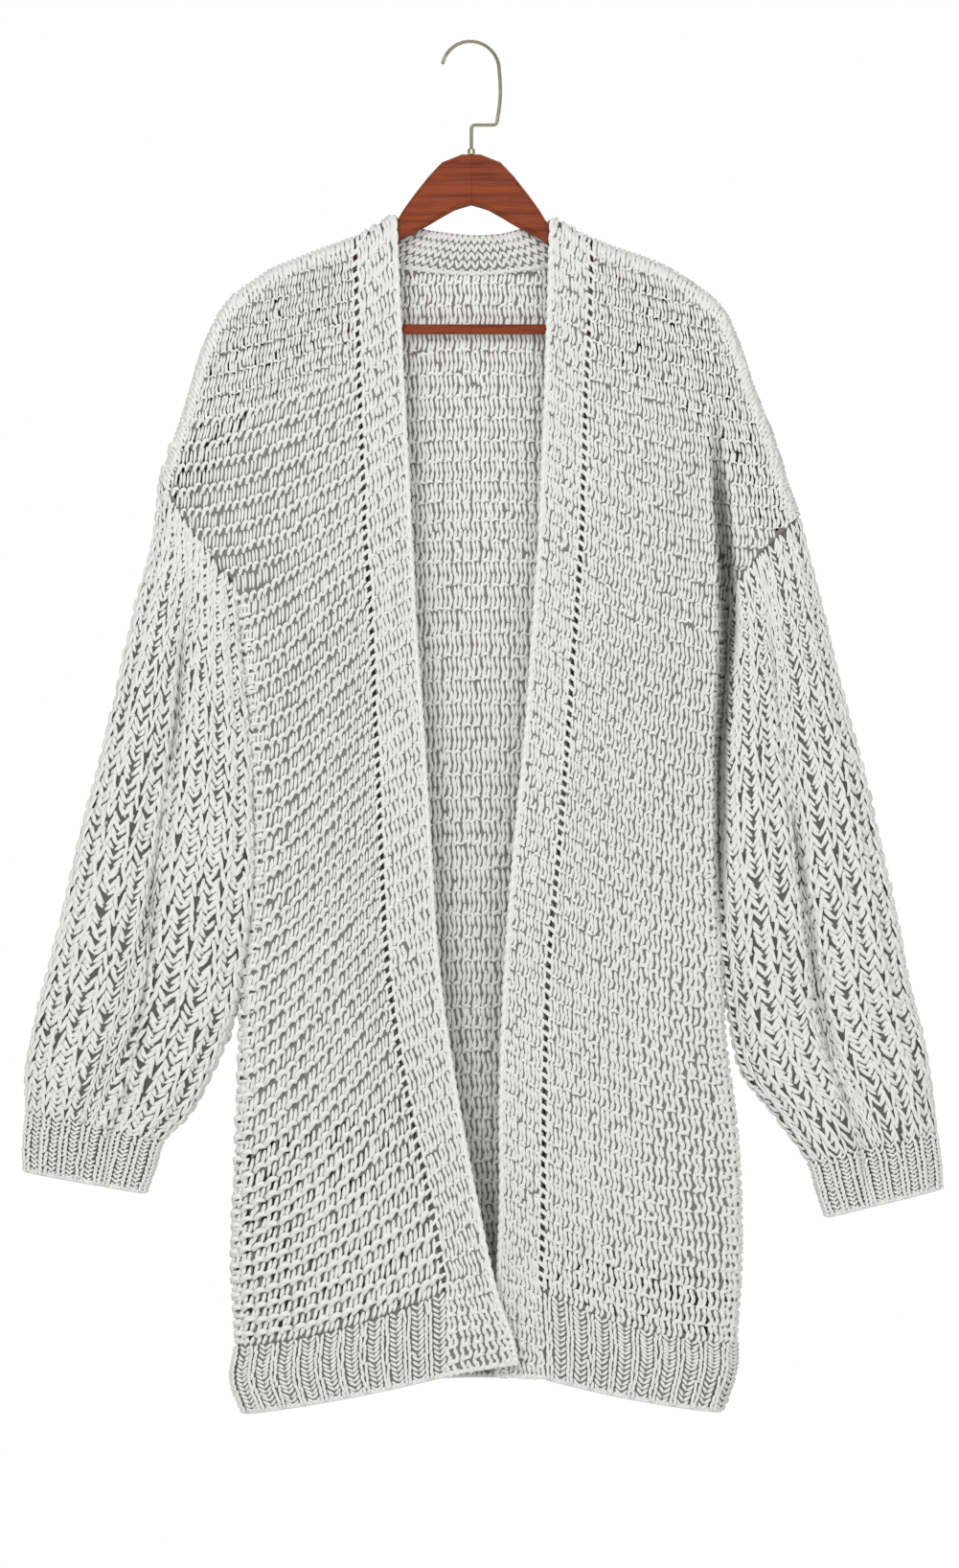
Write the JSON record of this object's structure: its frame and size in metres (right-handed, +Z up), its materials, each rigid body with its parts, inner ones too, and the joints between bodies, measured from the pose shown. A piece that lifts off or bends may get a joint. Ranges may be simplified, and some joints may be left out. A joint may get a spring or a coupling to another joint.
{
  "type": "chunky knitted cardigan and wooden clothes hanger",
  "caption": "Long open-front chunky knit cardigan with balloon sleeves, ribbed cuffs and hem, hanging flat on a wooden hanger with a wire hook.",
  "frame": {"origin": "the underside of the hook's arc, where a rail carries the hanger", "axes": "+Z up along the hanging garment, +X towards the wearer's left sleeve, -Y out of the cardigan's front"},
  "size_m": [0.6913, 0.0562, 1.0317],
  "materials": {
    "yarn": "matt off-white thick two-ply yarn, knitted",
    "wood": "reddish brown stained and lacquered wood",
    "brass": "pale gold polished wire"
  },
  "bodies": {
    "root": {"back": "yarn", "front_right": "yarn", "front_left": "yarn", "band_right": "yarn", "band_left": "yarn", "neck_band": "yarn", "hem_rib_right": "yarn", "hem_rib_left": "yarn", "hem_rib_back": "yarn", "sleeve_right": "yarn", "sleeve_left": "yarn", "cuff_right": "yarn", "cuff_left": "yarn", "hanger_wood": "wood", "hanger_bar": "wood", "hanger_hook": "brass", "hanger_ferrule": "brass"}
  },
  "joints": []
}
